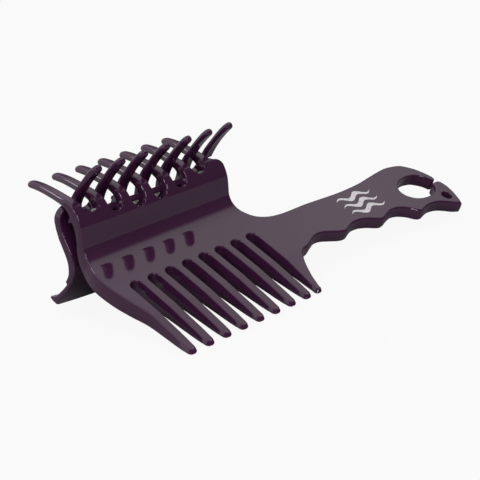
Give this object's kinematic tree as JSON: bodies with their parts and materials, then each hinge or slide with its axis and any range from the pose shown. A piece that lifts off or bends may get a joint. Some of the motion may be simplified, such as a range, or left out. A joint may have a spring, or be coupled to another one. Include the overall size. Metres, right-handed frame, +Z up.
{
  "type": "wide tooth comb with claw clip",
  "caption": "Wide tooth grooming comb with a finger-grooved handle, an open hang hole and a sprung claw clip along its back edge.",
  "frame": {"origin": "centre of the box under the comb, on the surface it rests on", "axes": "+X along the comb from the toothed end to the handle's end, +Y from the tooth tips to the clip, +Z up; the comb rests on its tooth tips and the lower edge of the finger pad"},
  "size_m": [0.167, 0.073, 0.0534],
  "materials": {
    "plastic": "high gloss",
    "steel": "drawn wire and ground pin",
    "ink": "thin printed ink"
  },
  "bodies": {
    "comb": {"comb_plate": "plastic", "comb_handle": "plastic", "front_jaw": "plastic", "hinge_pin": "steel", "torsion_spring": "steel", "handle_mark": "ink"},
    "clip": {"rear_jaw": "plastic", "finger_pad": "plastic"}
  },
  "joints": [
    {"name": "clip_hinge", "type": "hinge", "parent": "comb", "child": "clip", "pos_m": [-0.047, 0.01155, 0.01273], "axis": [-1, 0, 0], "range_deg": [0, 55], "stiffness_Nm_per_rad": 0.08, "springref_deg": -34.38, "deforming": ["torsion_spring"]}
  ]
}
